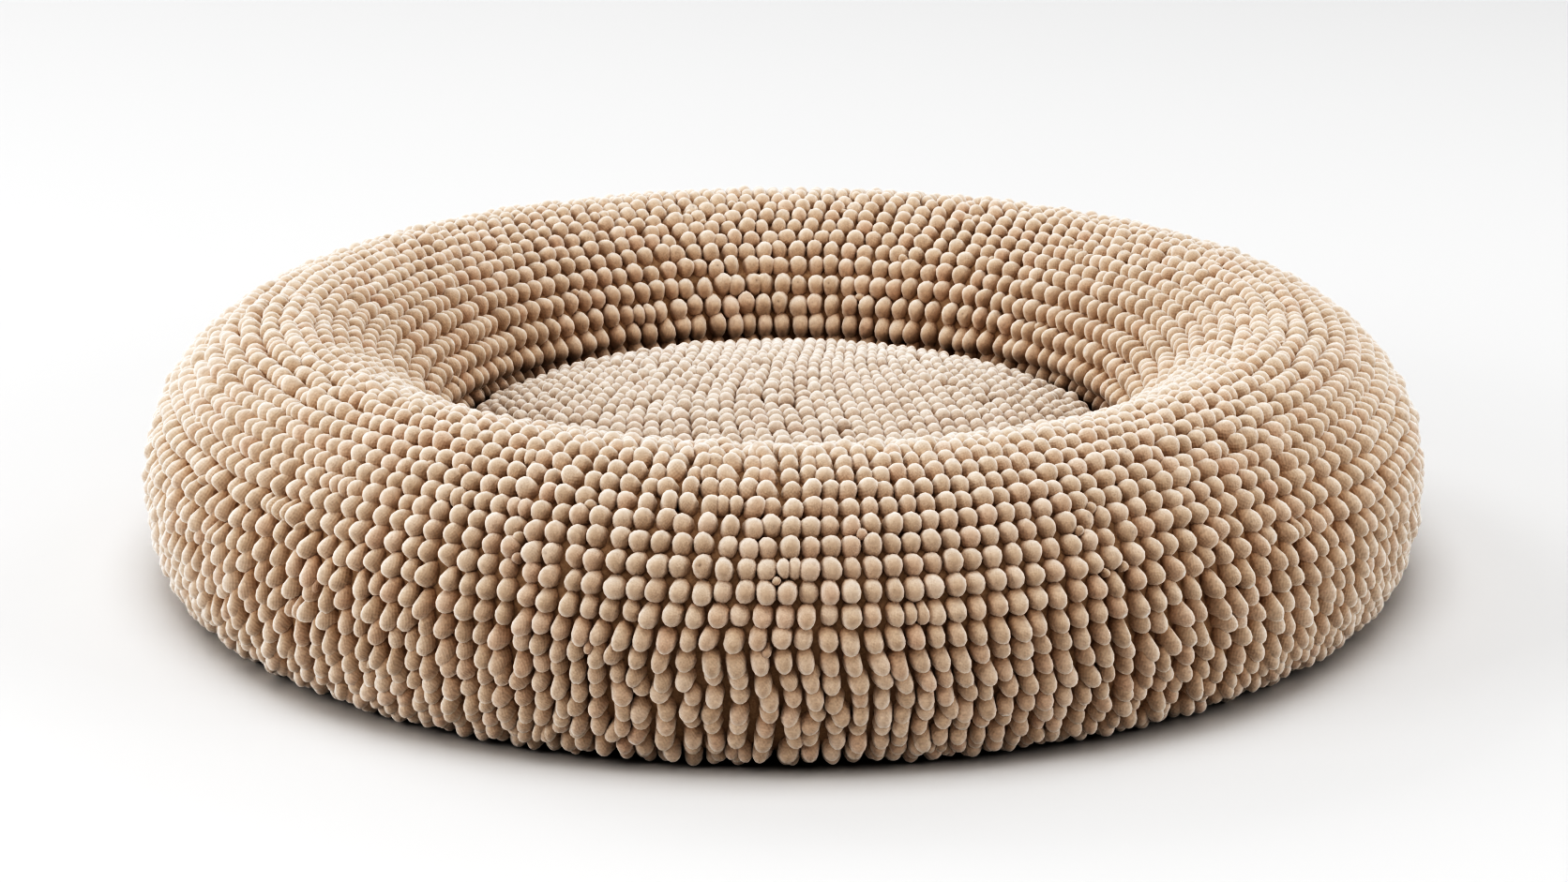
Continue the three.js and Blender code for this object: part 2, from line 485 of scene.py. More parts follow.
class NodeSheet:
    """A material and the nodes that are added to it."""

    def __init__(self, name: str) -> None:
        """Makes an empty node material.

        Args:
            name: the material's name.
        """
        self.material = bpy.data.materials.new(name)
        self.material.use_nodes = True
        self.tree = self.material.node_tree
        self.tree.nodes.clear()

    def add(
        self, kind: str, settings: dict[str, Any] | None = None, *values: Any, **named: Any
    ) -> Signal:
        """Adds a node.

        Args:
            kind: the node's type.
            settings: its properties, which are set first.
            values: numbers, colours or signals for its first sockets, None to skip one.
            named: the same for sockets by name, with _ for a space.

        Returns:
            Its first output.
        """
        node = self.tree.nodes.new(kind)
        for key, value in (settings or {}).items():
            setattr(node, key, value)
        sockets = [socket for socket in node.inputs if socket.enabled]
        pairs = list(zip(sockets, values))
        pairs += [(node.inputs[key.replace("_", " ")], value) for key, value in named.items()]
        for socket, value in pairs:
            if isinstance(value, Signal):
                self.tree.links.new(value.socket, socket)
            elif value is not None:
                socket.default_value = value
        first = next(socket for socket in node.outputs if socket.enabled) if node.outputs else None
        return Signal(self, first)

    def output(self, signal: Signal, name: str) -> Signal:
        """Returns another output of the node that gives the signal."""
        return Signal(self, signal.socket.node.outputs[name])

    def mix(self, share: Any, first: Any, second: Any) -> Signal:
        """Mixes two colours by a share from 0 to 1."""
        settings = {"data_type": "RGBA", "blend_type": "MIX", "clamp_factor": True}
        return self.add("ShaderNodeMix", settings, share, first, second)

    def place(self) -> Signal:
        """Returns the point on the object, in metres."""
        return self.output(self.add("ShaderNodeTexCoord"), "Object")

    def noise(self, place: Signal, scale: float, detail: float = 2.0) -> Signal:
        """Returns a noise from 0 to 1, with scale features in one metre."""
        return self.add("ShaderNodeTexNoise", None, Vector=place, Scale=scale, Detail=detail)

    def relief(self, height: Signal, strength: float, distance: float) -> Signal:
        """Returns the normal of a surface with a relief of the height, so many metres deep."""
        return self.add("ShaderNodeBump", None, Strength=strength, Distance=distance, Height=height)

    def surface(self, **named: Any) -> Signal:
        """Returns a Principled shader with these values or signals on its sockets."""
        return self.add("ShaderNodeBsdfPrincipled", None, **named)

    def finish(self, shader: Signal) -> bpy.types.Material:
        """Makes the shader the material's surface and returns the material."""
        self.add("ShaderNodeOutputMaterial", None, shader)
        return self.material


@dataclass(frozen=True)
class Chenille:
    """Velvety bobble cloth, with its own shade on each bobble and painted dark brown shade at the roots.

    Attributes:
        body: the colour of most bobbles, next to the pale and the rosy ones.
        root: the painted shade down at the roots, where the bobbles shade each other.
        painted_sheen_fuzz: the pale colour of the fibres, mixed in at a bobble's grazing edges as a
            painted sheen.
        painted_root_shade_depth: how far up the roots' painted shade reaches, as a share of the bobble.
    """

    name: str
    body: Colour
    pale: Colour
    rosy: Colour
    root: Colour
    painted_sheen_fuzz: Colour = (0.93, 0.92, 0.90, 1.0)
    painted_sheen_power: float = 1.6
    painted_sheen_strength: float = 0.7
    shade_spread: float = 0.10
    fibre_spread: float = 0.24
    knit_spread: float = 0.055
    pale_share: float = 0.6
    painted_pucker_shade: float = 0.6
    stitches_round: int = 14
    stitches_per_centimetre: float = 4.2
    painted_root_shade_depth: float = 0.8
    fibre_scale: float = 800.0
    nap_scale: float = 330.0
    patch_scale: float = 5.0
    roughness: float = 0.92
    specular: float = 0.2
    sheen: float = 0.9
    sheen_roughness: float = 0.35
    sheen_tint: Colour = (1.0, 0.96, 0.91, 1.0)
    bump: float = 0.5
    bump_height: float = 0.0005

    def material(self) -> bpy.types.Material:
        """Makes the cloth's material.

        Returns:
            The material.
        """
        sheet = NodeSheet(self.name)
        bobble = sheet.add("ShaderNodeAttribute", {"attribute_name": "bobble"})
        parts = sheet.add("ShaderNodeSeparateColor", None, bobble)
        tint, way, warmth = (sheet.output(parts, name) for name in ("Red", "Green", "Blue"))
        pucker = sheet.output(bobble, "Alpha")
        place = sheet.place()
        chart = sheet.add("ShaderNodeUVMap", {"uv_map": "knit"})
        chart = sheet.add("ShaderNodeSeparateXYZ", None, chart)
        wales = (sheet.output(chart, "X") * (FULL_TURN * self.stitches_round)).cosine()
        courses = (sheet.output(chart, "Y") * (FULL_TURN * self.stitches_per_centimetre)).cosine()
        knit = wales * courses * (1 - way.between(0.9, 1.0))
        fibre = sheet.noise(place, self.fibre_scale, 3.0)
        nap = sheet.noise(place, self.nap_scale, 2.0)
        patch = sheet.noise(place, self.patch_scale, 2.0)
        hue = sheet.mix(warmth.between(0.35, 1.0), self.body, self.rosy)
        hue = sheet.mix(tint.between(0.3, 1.1) * self.pale_share, hue, self.pale)
        # Painted shade: the colour darkens to the root colour towards each bobble's root, where the
        # bobbles shade each other.
        hue = sheet.mix(way.between(0.0, self.painted_root_shade_depth), self.root, hue)
        shade = 1 + (tint - 0.5) * self.shade_spread + (patch - 0.5) * self.shade_spread
        shade = shade + (fibre - 0.5) * self.fibre_spread + (nap - 0.5) * self.fibre_spread
        shade = shade + knit * self.knit_spread
        # Painted shade: a dimpled tip is darkened at its pucker.
        shade = shade * (1 - pucker.between(0.2, 1.0) * self.painted_pucker_shade)
        colour = sheet.add("ShaderNodeVectorMath", {"operation": "SCALE"}, hue, Scale=shade)
        relief = fibre * 0.6 + nap * 0.8 + knit * 0.35
        bump = sheet.relief(relief, self.bump, self.bump_height)
        cloth = sheet.surface(
            Base_Color=colour,
            Roughness=self.roughness,
            Normal=bump,
            Sheen_Weight=self.sheen,
            Sheen_Roughness=self.sheen_roughness,
            Sheen_Tint=self.sheen_tint,
            Specular_IOR_Level=self.specular,
        )
        # Painted sheen: a pale fibre colour is mixed in where the surface is seen at a grazing angle,
        # kept off the roots.
        fibres = sheet.surface(
            Base_Color=self.painted_sheen_fuzz, Roughness=1.0, Normal=bump, Specular_IOR_Level=0.0
        )
        weight = sheet.add("ShaderNodeLayerWeight", None, Blend=0.5)
        edge = sheet.output(weight, "Facing") ** self.painted_sheen_power * self.painted_sheen_strength
        edge = edge * way.between(0.15, 0.7)
        return sheet.finish(sheet.add("ShaderNodeMixShader", None, edge, cloth, fibres))


@dataclass(frozen=True)
class BackingKnit:
    """The close knit between the bobbles, which shows only in the gaps: its own brown, made darker than
    the bobbles as painted shade in the gaps.
    """

    name: str
    light: Colour
    dark: Colour
    loops_per_metre: float = 700.0
    loop_height: float = 0.0006
    roughness: float = 0.95

    def material(self) -> bpy.types.Material:
        """Makes the knit's material.

        Returns:
            The material.
        """
        sheet = NodeSheet(self.name)
        loops = sheet.noise(sheet.place(), self.loops_per_metre, 3.0)
        colour = sheet.mix(loops.between(0.3, 0.7), self.dark, self.light)
        bump = sheet.relief(loops, 0.5, self.loop_height)
        shader = sheet.surface(
            Base_Color=colour, Roughness=self.roughness, Normal=bump, Specular_IOR_Level=0.1
        )
        return sheet.finish(shader)


@dataclass(frozen=True)
class PlainWeave:
    """A plain woven cloth with its threads over and under."""

    name: str
    thread: Colour
    gap: Colour
    threads_per_metre: float = 700.0
    thread_height: float = 0.0005
    slubs_per_metre: float = 90.0
    roughness: float = 0.88

    def material(self) -> bpy.types.Material:
        """Makes the cloth's material.

        Returns:
            The material.
        """
        sheet = NodeSheet(self.name)
        place = sheet.place()
        axes = sheet.add("ShaderNodeSeparateXYZ", None, place)
        turn = self.threads_per_metre * math.pi
        warp = (sheet.output(axes, "X") * turn).sine()
        weft = (sheet.output(axes, "Y") * turn).sine()
        crossing = warp * weft
        relief = crossing * 0.5 + 0.5
        slub = sheet.noise(place, self.slubs_per_metre, 4.0)
        colour = sheet.mix(relief * 0.7 + slub * 0.4 - 0.1, self.gap, self.thread)
        bump = sheet.relief(relief, 0.6, self.thread_height)
        return sheet.finish(
            sheet.surface(Base_Color=colour, Roughness=self.roughness, Normal=bump)
        )


@dataclass(frozen=True)
class Comb:
    """A patch where the columns of bobbles are combed aside by one place from row to row.

    Attributes:
        arc: the arc below which the columns are combed aside.
        places: how many places they move, less than 0 for backwards.
    """

    angle: float
    half_width: float
    arc: float
    places: int
    side_blur: float = 0.18
    end_blur: float = 0.022

    def shift_at(self, angle: np.ndarray, arc: np.ndarray) -> np.ndarray:
        """Works out how far the columns are combed aside.

        Args:
            angle: angles round the bed, in radians.
            arc: distances along the section.

        Returns:
            How many places they move at each.
        """
        away = np.abs((angle - self.angle + math.pi) % FULL_TURN - math.pi)
        side, blur = self.half_width, self.side_blur
        inside = 1 - smoothstep(side - blur, side + blur, away)
        below = 1 - smoothstep(self.arc - self.end_blur, self.arc + self.end_blur, arc)
        return self.places * inside * below


@dataclass(frozen=True)
class Spacing:
    """How far apart the bobbles of a band of rows stand, which changes on the way round the bed.

    Attributes:
        from_front: angles from the front of the bed, in degrees, the same to the left and right.
        pitches: the distance from bobble to bobble at those angles, in metres.
    """

    from_front: tuple[float, ...]
    pitches: tuple[float, ...]

    def _passed(self, radius: float) -> tuple[np.ndarray, np.ndarray]:
        """Counts the bobbles of a row on the way round the bed.

        Args:
            radius: the row's radius.

        Returns:
            Angles all round, and how many bobbles the row has up to each.
        """
        angle = np.linspace(0, FULL_TURN, 1441)
        away = np.degrees(np.abs((angle + math.pi / 2 + math.pi) % FULL_TURN - math.pi))
        density = radius / np.interp(away, self.from_front, self.pitches)
        steps = 0.5 * (density[1:] + density[:-1]) * np.diff(angle)
        return angle, np.concatenate([[0.0], np.cumsum(steps)])

    def count(self, radius: float) -> int:
        """Returns how many bobbles a row of the radius has."""
        return round(float(self._passed(radius)[1][-1]))

    def angle_of(self, place: np.ndarray, count: int) -> np.ndarray:
        """Finds places on a row.

        Args:
            place: which places, which may be fractions.
            count: how many bobbles the row has.

        Returns:
            Their angles, in radians.
        """
        angle, passed = self._passed(1.0)
        turns, rest = np.divmod(np.asarray(place, float), count)
        return turns * FULL_TURN + np.interp(rest / count * passed[-1], passed, angle)


@dataclass(frozen=True)
class ByFacing:
    """A value that changes with how many degrees upwards the cloth faces."""

    degrees: tuple[float, ...]
    values: tuple[float, ...]

    def at(self, facing: np.ndarray) -> np.ndarray:
        """Returns the value where the cloth faces so many degrees upwards."""
        return np.interp(facing, self.degrees, self.values)


@dataclass
class Stand:
    """Where the bobbles of one row of the bolster stand. Entry n of every array is bobble n's.

    Attributes:
        angle: how far round the bed it stands, in radians.
        arc: how far along the section.
        point: its (radius, height) on the section.
        tangent: the section's direction there, as (radius, height).
        pitch: the distance from bobble to bobble.
        row_pitch: the distance from row to row.
        disorder: how untidily the bobbles stand there.
        is_free: whether the row's bobbles stand in no column.
    """

    angle: np.ndarray
    arc: np.ndarray
    point: np.ndarray
    tangent: np.ndarray
    pitch: np.ndarray
    row_pitch: np.ndarray
    disorder: np.ndarray
    is_free: bool

    @property
    def count(self) -> int:
        """How many bobbles the row has."""
        return len(self.angle)

    @property
    def is_outer(self) -> np.ndarray:
        """Whether each bobble is on the outer side of the crest."""
        return self.tangent[:, 1] > 0

    @property
    def facing(self) -> np.ndarray:
        """How many degrees upwards the cloth faces under each bobble."""
        return np.degrees(np.arcsin((-self.tangent[:, 0]).clip(-1, 1)))

    @property
    def sideways(self) -> np.ndarray:
        """How far to the left or right of the bed each bobble is, from 0 to 1."""
        return smoothstep(0.30, 0.85, np.abs(np.cos(self.angle)))

    @property
    def lying(self) -> np.ndarray:
        """How far each bobble is one of those that lie on the side walls, from 0 to 1."""
        return self.sideways * smoothstep(70, 40, self.facing) * self.is_outer

    def turned(self, radial: np.ndarray, upward: np.ndarray) -> np.ndarray:
        """Turns (radial, upward) directions or places round to where each bobble stands."""
        return np.stack([radial * np.cos(self.angle), radial * np.sin(self.angle), upward], -1)


@dataclass
class Bolster:
    """The filled ring and the rows of bobbles that run round it.

    The tips of the bobbles touch the section. Its arcs are measured from the outer edge of the
    foot, over the crest and down into the nest.

    Attributes:
        swelling: how much the unevenness of the filling moves the surface.
        row_arcs: where each row's roots are along the section, at the front of the bed.
        side_shifts: how much farther along the section each row lies at the sides.
        zone_ends: the zones in order, each with the row that it ends before.
        last_wall_row: the last row whose columns run up the outer wall.
        column_row: the row whose radius sets how many columns the outer wall has.
        first_nest_row: the first row of the nest's wall.
        upper_nest_rows: how many rows the upper nest has, whose columns hold.
        pile: how deep the roots lie below the section.
        nearness: how deep the filled form lies below the section, as a share of the pile.
        front_hang: how far the tips hang at the front, as a share of their reach. Side and inner
            are the same at the sides, and inside the crest.
        outer_snugness: the most that a bobble fills of its pitch, outside the crest.
        sweep: how far the bobbles at the sides are swept back, as a share of their reach.
        ridge: how much thicker a bobble is at its root, outside the crest.
        comb_count: how many patches have their columns combed aside.
    """

    outer_radius: float = 0.400
    height: float = 0.163
    widest_height: float = 0.070
    crest_radius: float = 0.305
    nest_radius: float = 0.213
    waist_height: float = 0.084
    foot_outer_radius: float = 0.372
    foot_inner_radius: float = 0.240
    foot_height: float = 0.0023
    swelling: float = 0.002
    row_arcs: tuple[float, ...] = (
        0.0070, 0.0160, 0.0250, 0.0340, 0.0430, 0.0520, 0.0615, 0.0715, 0.0825, 0.0945,
        0.1070, 0.1200, 0.1335, 0.1470, 0.1600, 0.1725, 0.1850, 0.1980, 0.2105, 0.2225,
        0.2340, 0.2455, 0.2570, 0.2685, 0.2800, 0.2915, 0.3045, 0.3195, 0.3355, 0.3520,
        0.3675, 0.3820,
    )
    side_shifts: tuple[float, ...] = (
        0, 0, 0, 0, 0, -0.0010, 0.0015, 0.0025, 0.0045, 0.0055, 0.0065, 0.0075, 0.0070, 0.0045,
        0.0028, 0.0015, 0.0010, 0.0010, 0.0020, 0.0020, 0.0020, 0.0015, 0.0010, 0.0005, 0, 0, 0, 0,
        0, 0, 0, 0,
    )
    zone_ends: tuple[tuple[Zone, int], ...] = (
        (Zone.FOOT, 7), (Zone.WALL, 13), (Zone.SHOULDER, 18), (Zone.CREST, 26), (Zone.NEST, 32)
    )
    last_wall_row: int = 19
    column_row: int = 10
    first_nest_row: int = 25
    upper_nest_rows: int = 3
    wall: Spacing = Spacing(
        (0, 12, 25, 42, 90, 180), (0.0109, 0.0112, 0.0125, 0.0134, 0.0132, 0.0122)
    )
    crest: Spacing = Spacing((0, 15, 40, 90, 180), (0.0094, 0.0096, 0.0113, 0.0118, 0.0112))
    nest: Spacing = Spacing((0, 90, 130, 165, 180), (0.0118, 0.0118, 0.0116, 0.0108, 0.0107))
    pile: float = 0.0145
    nearness: float = 0.56
    front_hang: ByFacing = ByFacing(
        (-90, -60, -45, -30, -10, 7, 18, 28, 40, 60, 90),
        (0, 0.50, 0.76, 0.88, 0.87, 0.76, 0.53, 0.26, 0.14, 0.06, 0),
    )
    side_hang: ByFacing = ByFacing(
        (-90, -60, -30, -10, 10, 25, 40, 60, 80),
        (0, 0.65, 1.05, 1.05, 0.85, 0.50, 0.28, 0.10, 0.02),
    )
    inner_hang: ByFacing = ByFacing((0, 20, 50, 90), (0.15, 0.05, 0.0, 0.0))
    outer_snugness: ByFacing = ByFacing((-30, 5, 25), (0.99, 1.00, 1.03))
    inner_snugness: float = 1.03
    outer_width: ByFacing = ByFacing((10, 30), (0.0094, 0.0101))
    inner_width: float = 0.0106
    least_width: float = 0.0066
    outer_depth: ByFacing = ByFacing((0, 25, 60), (0.0110, 0.0108, 0.0112))
    inner_depth: ByFacing = ByFacing((10, 50), (0.0138, 0.0114))
    least_depth: float = 0.0086
    sweep: float = 0.50
    ridge: float = 0.22
    side_ridge: float = 0.40
    inner_ridge: float = 0.30
    dimpled_share: float = 0.07
    tint_spread: float = 0.38
    warmth_spread: float = 0.36
    twin_share: float = 0.008
    nub_share: float = 0.025
    floor: float = 0.0004
    comb_count: int = 13
    seed: int = 11
    outline: Outline = field(init=False)
    combs: list[Comb] = field(init=False)

    def __post_init__(self) -> None:
        """Works out the section from the sizes, and where the bobbles are combed aside."""
        outer, crest, foot = self.outer_radius, self.crest_radius, self.foot_height
        widest, waist, nest = self.widest_height, self.waist_height, self.nest_radius
        foot_out, foot_in, top = self.foot_outer_radius, self.foot_inner_radius, self.height
        quarters = (
            Quarter((foot_out, widest), (foot_out, foot), (outer, widest), 2.28),
            Quarter((crest, widest), (outer, widest), (crest, top), 1.93),
            Quarter((crest, waist), (crest, top), (nest, waist), 1.6),
            Quarter((foot_in, waist), (nest, waist), (foot_in, foot), 2.0),
        )
        self.outline = Outline(np.concatenate([quarter.points(400) for quarter in quarters]))
        draw = np.random.default_rng(self.seed)
        self.combs = [
            Comb(
                angle=(turn + draw.uniform(0, 0.8)) * FULL_TURN / self.comb_count,
                half_width=draw.uniform(0.20, 0.30),
                arc=draw.uniform(0.05, 0.16),
                places=int(draw.choice((-1, 1))),
            )
            for turn in range(self.comb_count)
        ]

    def is_free(self, row: int) -> bool:
        """Whether a row lies between the wall and the nest, where no columns hold."""
        return self.last_wall_row < row < self.first_nest_row

    def spacing(self, row: int) -> Spacing:
        """Picks the spacing of a row's bobbles.

        Args:
            row: which row.

        Returns:
            The spacing of the wall, the crest or the nest.
        """
        if row <= self.last_wall_row:
            return self.wall
        return self.crest if self.is_free(row) else self.nest

    def columns(self, row: int) -> int:
        """Works out how many bobbles a row has.

        It is the same all down the wall, all down the upper nest, and all down the lower nest.

        Args:
            row: which row, from the outer edge of the foot to the cushion's rim.

        Returns:
            The number of bobbles.
        """
        spacing = self.spacing(row)
        if row <= self.last_wall_row:
            row = self.column_row
        elif row >= self.first_nest_row + self.upper_nest_rows:
            row = self.first_nest_row + self.upper_nest_rows + 1
        elif row >= self.first_nest_row:
            row = self.first_nest_row + 1
        point, _ = self.outline.at(np.array([self.row_arcs[row]]))
        return spacing.count(float(point[0, 0]))

    def scatter(self) -> list[np.ndarray]:
        """Works out how far each bobble has slipped along its row.

        Rows with the same number of bobbles slip together, so their columns hold.

        Returns:
            The slips of each row's bobbles, in units of the usual slip.
        """
        draw = np.random.default_rng(self.seed + 1)
        counts = [self.columns(row) for row in range(len(self.row_arcs))]
        slips: list[np.ndarray] = []
        for row, count in enumerate(counts):
            fresh = draw.normal(0, 1, count)
            follows = row > 0 and counts[row - 1] == count
            slips.append(0.80 * slips[-1] + 0.60 * fresh if follows else fresh)
        return slips

    def drift(self, angle: np.ndarray, arc: np.ndarray) -> np.ndarray:
        """Works out how far the columns have drifted along their rows.

        Args:
            angle: angles round the bed, in radians.
            arc: distances along the section.

        Returns:
            How many places they have drifted at each.
        """
        total = 0.7 * Waviness(71, 6, 5.0).at(angle, arc)
        for comb in self.combs:
            total = total + comb.shift_at(angle, arc)
        return total

    def swell(self, place: np.ndarray, angle: np.ndarray) -> np.ndarray:
        """Moves (radius, height) places by the unevenness of the filling round the bed.

        Args:
            place: the places.
            angle: their angles round the bed, in radians.

        Returns:
            The moved places.
        """
        filling = (
            0.45 * np.sin(2 * angle + 0.6)
            + 0.35 * np.sin(3 * angle + 2.1)
            + 0.20 * np.sin(7 * angle + 4.0)
        )
        lift = smoothstep(self.widest_height / 2, self.height, place[..., 1])
        outside = smoothstep(self.nest_radius, self.crest_radius, place[..., 0])
        away = unit(place - np.array([self.crest_radius, self.widest_height]))
        return place + away * (self.swelling * (filling - 1) / 2 * lift * outside)[..., None]

    def stand(self, row: int, slip: np.ndarray, draw: np.random.Generator) -> Stand:
        """Works out where the bobbles of one row stand.

        Args:
            row: which row, from the outer edge of the foot to the cushion's rim.
            slip: how far each bobble has slipped along the row, in units of its usual slip.
            draw: the row's random numbers.

        Returns:
            Where they stand.
        """
        count = len(slip)
        arc0 = np.array(self.row_arcs[row])
        front_pitch = float(np.gradient(self.row_arcs)[row])
        side_pitch = front_pitch + float(np.gradient(self.side_shifts)[row])
        is_free = self.is_free(row)
        spacing = self.spacing(row)
        place = np.arange(count) + (draw.uniform(0, 1) if is_free else 0.0)
        rough = spacing.angle_of(place, count)
        disorder = (0.8 + 0.5 * Waviness(31, 9, 6.0).at(rough, arc0)).clip(0.35, 1.6)
        disorder = disorder * (1.15 if is_free else 1.0)
        slipped = (0.045 * disorder * slip + 0.02 * draw.normal(0, 1, count)).clip(-0.25, 0.25)
        angle = spacing.angle_of(place + slipped + self.drift(rough, arc0), count)
        climb = 0.06 * Waviness(47, 20, 12.0).at(angle, arc0)
        climb = climb + 0.045 * disorder * draw.normal(0, 1, count)
        from_front = np.degrees(np.abs((angle + 1.5 * math.pi) % FULL_TURN - math.pi))
        at_side = smoothstep(8, 42, from_front)
        row_pitch = front_pitch + (side_pitch - front_pitch) * at_side
        arc = arc0 + self.side_shifts[row] * at_side + row_pitch * climb
        arc = arc.clip(0, self.outline.length)
        point, tangent = self.outline.at(arc)
        gap = 0.5 * ((np.roll(angle, -1) - np.roll(angle, 1)) % FULL_TURN)
        pitch = gap * (point[:, 0] - 0.35 * self.pile * tangent[:, 1])
        return Stand(angle, arc, point, tangent, pitch, row_pitch, disorder, is_free)

    def thickness(self, stand: Stand, draw: np.random.Generator) -> tuple[np.ndarray, np.ndarray]:
        """Works out how thick the bobbles of a row are.

        Args:
            stand: where they stand.
            draw: the row's random numbers.

        Returns:
            Their thickness along the row, and across it.
        """
        facing, is_outer, lying = stand.facing, stand.is_outer, stand.lying
        snugness = np.where(is_outer, self.outer_snugness.at(facing), self.inner_snugness)
        widest = self.outer_width.at(facing) - 0.0001 * lying
        widest = np.where(is_outer, widest, self.inner_width)
        widest = widest * (1 + 0.05 * draw.normal(0, 1, stand.count))
        width = np.minimum(snugness * stand.pitch, widest).clip(self.least_width)
        if stand.is_free:
            width = width * (1 + 0.06 * draw.normal(0, 1, stand.count)).clip(0.8, 1.12)
        deepest = self.outer_depth.at(facing) - 0.0006 * lying
        deepest = np.where(is_outer, deepest, self.inner_depth.at(facing))
        depth = 0.99 * stand.row_pitch * (1 + 0.04 * draw.normal(0, 1, stand.count))
        return width, depth.clip(self.least_depth, deepest)

    def hang(self, stand: Stand) -> np.ndarray:
        """Works out how far the bobbles of a row hang.

        Args:
            stand: where they stand.

        Returns:
            How far each tip hangs below its root, as a share of its reach.
        """
        front = self.front_hang.at(stand.facing)
        side = self.side_hang.at(stand.facing)
        inside = self.inner_hang.at(stand.facing)
        return np.where(stand.is_outer, front + (side - front) * stand.sideways, inside)

    def fitted_reach(self, arc: np.ndarray, hang: np.ndarray, radius: np.ndarray) -> np.ndarray:
        """Works out how far each bobble reaches so that its round tip just touches the section.

        Args:
            arc: where its root is along the section.
            hang: how strongly it hangs.
            radius: the radius of its tip.

        Returns:
            How far it stands off the cloth.
        """
        point, tangent = self.outline.at(arc)
        out = np.stack([tangent[:, 1], -tangent[:, 0]], -1)
        down = -np.sign(tangent[:, 1:2]) * tangent
        axis = unit(out + 2 * hang[:, None] * down)
        reach = np.full(len(arc), self.pile)
        for _ in range(3):
            tip = point - out * self.pile + reach[:, None] * (out + hang[:, None] * down)
            reach = reach - self.outline.beyond(tip - radius[:, None] * axis) - radius
        return reach

    def lean_and_nod(
        self, stand: Stand, hang: np.ndarray, draw: np.random.Generator
    ) -> tuple[np.ndarray, np.ndarray]:
        """Works out how the bobbles of a row are drawn aside.

        Args:
            stand: where they stand.
            hang: how strongly they hang.
            draw: the row's random numbers.

        Returns:
            How far each tip is drawn along the row, and upwards before it hangs, as shares of
            its reach.
        """
        facing = stand.facing
        loose = smoothstep(35, 80, facing)
        slant = self.drift(stand.angle, stand.arc - 0.008)
        slant = slant - self.drift(stand.angle, stand.arc + 0.004)
        slant = slant * stand.pitch / 0.012 * (0.2 + hang) * smoothstep(50, 20, facing)
        lean = 0.08 * Waviness(59, 16, 14.0).at(stand.angle, stand.arc) + 0.6 * slant
        swept = self.sweep * smoothstep(95, 45, facing) * (1 + 0.6 * smoothstep(30, 0, facing))
        swept = np.where(stand.is_outer, swept, 0.15 * self.sweep)
        lean = lean + swept * np.cos(stand.angle)
        slack = 0.06 * hang.clip(0, 1) * stand.is_outer
        noise = draw.normal(0, 1, stand.count)
        lean = lean + (0.09 + 0.05 * loose + slack) * stand.disorder * noise
        noise = draw.normal(0, 1, stand.count)
        nod = (0.06 + 0.05 * loose + slack) * stand.disorder * noise
        return lean, nod

    def row_of_bobbles(self, row: int, slip: np.ndarray) -> Bobbles:
        """Makes one row of bobbles.

        Args:
            row: which row, from the outer edge of the foot to the cushion's rim.
            slip: how far each bobble has slipped along the row, in units of its usual slip.

        Returns:
            The row's bobbles.
        """
        draw = np.random.default_rng(self.seed * 1000 + row)
        stand = self.stand(row, slip, draw)
        count, tangent = stand.count, stand.tangent
        width, depth = self.thickness(stand, draw)
        hang = self.hang(stand) * (1 + 0.14 * draw.normal(0, 1, count))
        reach = self.fitted_reach(stand.arc, hang, 0.25 * (width + depth))
        uneven = 0.05 + 0.03 * hang.clip(0, 1)
        reach = reach * (1 + uneven * draw.normal(0, 1, count)).clip(0.84, 1.09)
        lean, nod = self.lean_and_nod(stand, hang, draw)
        out = stand.turned(tangent[:, 1], -tangent[:, 0])
        along = np.stack([-np.sin(stand.angle), np.cos(stand.angle), np.zeros(count)], -1)
        upward = stand.turned(tangent[:, 0], tangent[:, 1]) * np.sign(tangent[:, 1:2])
        swollen = self.swell(stand.point, stand.angle)
        is_dimpled = draw.uniform(0, 1, count) < self.dimpled_share
        return Bobbles(
            root=stand.turned(swollen[:, 0], swollen[:, 1]) - out * self.pile,
            out=out,
            along=along,
            bend=upward * (nod - hang)[:, None] + along * lean[:, None],
            reach=reach,
            width=width,
            depth=depth,
            ridge=np.where(
                stand.is_outer, self.ridge + self.side_ridge * stand.lying, self.inner_ridge
            ),
            dimple=np.where(is_dimpled, draw.uniform(0.10, 0.35, count), 0.0),
            tint=draw.normal(0, self.tint_spread, count).clip(-1, 1),
            warmth=draw.normal(0, self.warmth_spread, count).clip(-1, 1),
        )

    def with_twins(self, row: Bobbles, seed: int) -> Bobbles:
        """Splits some of a row's bobbles into two thin ones side by side.

        Args:
            row: the row's bobbles.
            seed: picks which are split.

        Returns:
            The row with its twins.
        """
        draw = np.random.default_rng(self.seed * 3000 + seed)
        split = draw.uniform(0, 1, row.count) < self.twin_share
        pairs = []
        for side in (-1, 1):
            half = row.where(split)
            half.root = half.root + side * half.along * (0.29 * half.width)[:, None]
            half.bend = half.bend + side * half.along * draw.uniform(0, 0.12, half.count)[:, None]
            half.reach = half.reach * draw.uniform(0.88, 1.02, half.count)
            half.width = half.width * draw.uniform(0.70, 0.80, half.count)
            half.depth = half.depth * draw.uniform(0.82, 0.95, half.count)
            pairs.append(half)
        return Bobbles.joined([row.where(~split), *pairs])

